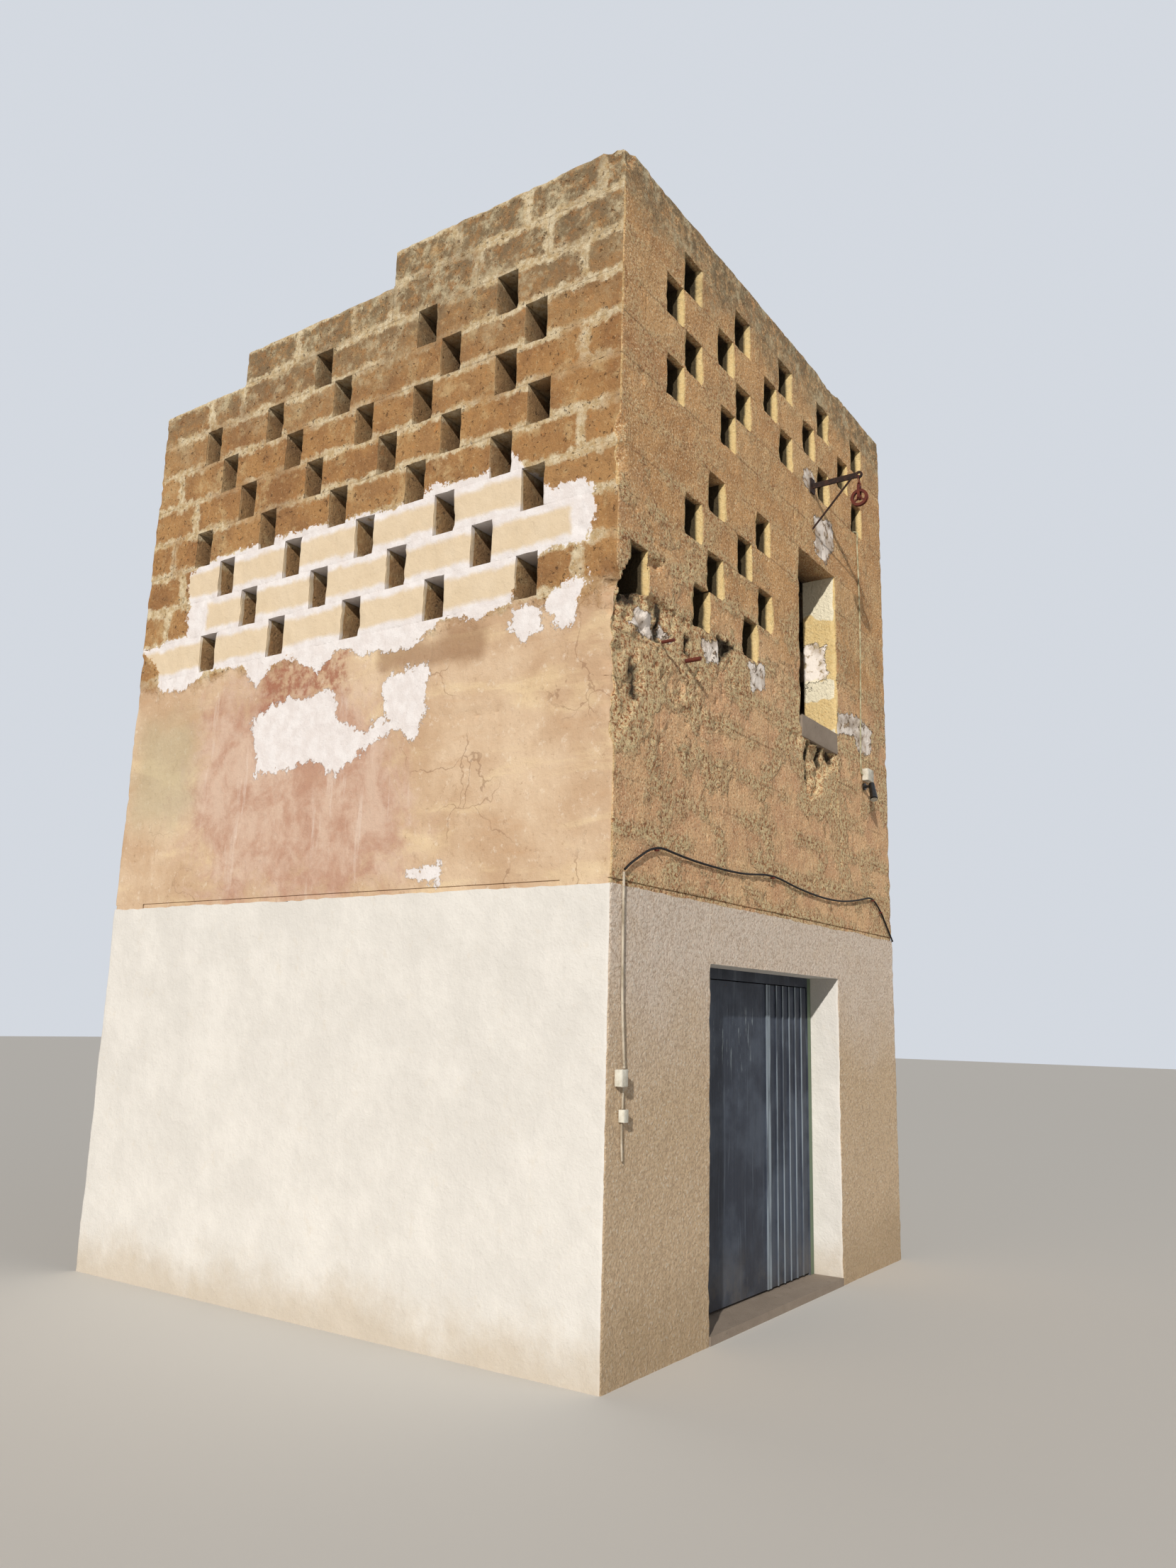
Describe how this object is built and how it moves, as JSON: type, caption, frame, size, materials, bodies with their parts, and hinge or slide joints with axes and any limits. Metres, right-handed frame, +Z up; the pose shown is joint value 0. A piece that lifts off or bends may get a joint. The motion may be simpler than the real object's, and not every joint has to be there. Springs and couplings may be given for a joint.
{
  "type": "dovecote",
  "caption": "Square stone-block dovecote with a pigeon-hole chequer, stepped top, double door, loading window and a hoist pulley.",
  "frame": {"origin": "centre of the square plan at ground level", "axes": "+Z up, the door face looks along -Y, +X to the right seen from its front"},
  "size_m": [3.88, 4.351, 6.25],
  "materials": {
    "stone_blocks": "rough, pitted",
    "rendered_stone": "rough-cast render",
    "sill_stone": "rough",
    "structural_timber": "sawn, aged",
    "roof_clay": "weathered",
    "door_paint": "worn dark blue-grey paint",
    "black_iron": "dull, rusty",
    "rusty_iron": "rusty",
    "white_plastic": "dusty",
    "black_paint": "satin",
    "black_rubber": "dull"
  },
  "bodies": {
    "tower": {"front_wall_middle": "stone_blocks", "front_wall_beside_sill": "stone_blocks", "broken_masonry": "stone_blocks", "side_walls_middle": "stone_blocks", "back_wall_middle": "stone_blocks", "front_hole_courses_a": "stone_blocks", "front_hole_courses_b": "stone_blocks", "side_hole_courses_a": "stone_blocks", "side_hole_courses_b": "stone_blocks", "back_hole_courses_a": "stone_blocks", "back_hole_courses_b": "stone_blocks", "front_parapet": "stone_blocks", "crow_steps": "stone_blocks", "front_piers": "rendered_stone", "door_lintel": "rendered_stone", "side_walls_lower": "rendered_stone", "back_wall_lower": "rendered_stone", "window_sill": "sill_stone", "door_threshold": "sill_stone", "ground_floor": "sill_stone", "upper_floor_beams": "structural_timber", "upper_floor_boards": "structural_timber", "roof_rafters": "structural_timber", "roof_boards": "structural_timber", "roof_tiles": "roof_clay", "door_frame_posts": "door_paint", "door_frame_head": "door_paint", "door_pintles": "black_iron", "iron_pegs": "black_iron", "cable_nails": "black_iron", "hoist_arm": "rusty_iron", "hoist_stay": "rusty_iron", "hoist_link": "rusty_iron", "pulley_fork": "rusty_iron", "junction_boxes": "white_plastic", "corner_conduit": "white_plastic", "pale_cable": "white_plastic", "wall_lamp": "black_paint", "dark_cable": "black_rubber"},
    "door_left": {"door_leaf_left": "door_paint", "door_straps_left": "black_iron"},
    "door_right": {"door_leaf_right": "door_paint", "door_straps_right": "black_iron"},
    "pulley": {"pulley_wheel": "rusty_iron"}
  },
  "joints": [
    {"name": "door_left_hinge", "type": "hinge", "parent": "tower", "child": "door_left", "pos_m": [-0.864, -1.678, 0.95], "axis": [0, 0, 1], "range_deg": [0, 90]},
    {"name": "door_right_hinge", "type": "hinge", "parent": "tower", "child": "door_right", "pos_m": [0.784, -1.678, 0.95], "axis": [0, 0, -1], "range_deg": [0, 90]},
    {"name": "pulley_spin", "type": "hinge", "parent": "tower", "child": "pulley", "pos_m": [0.542, -2.281, 5.114], "axis": [1, 0, 0], "continuous": true}
  ]
}
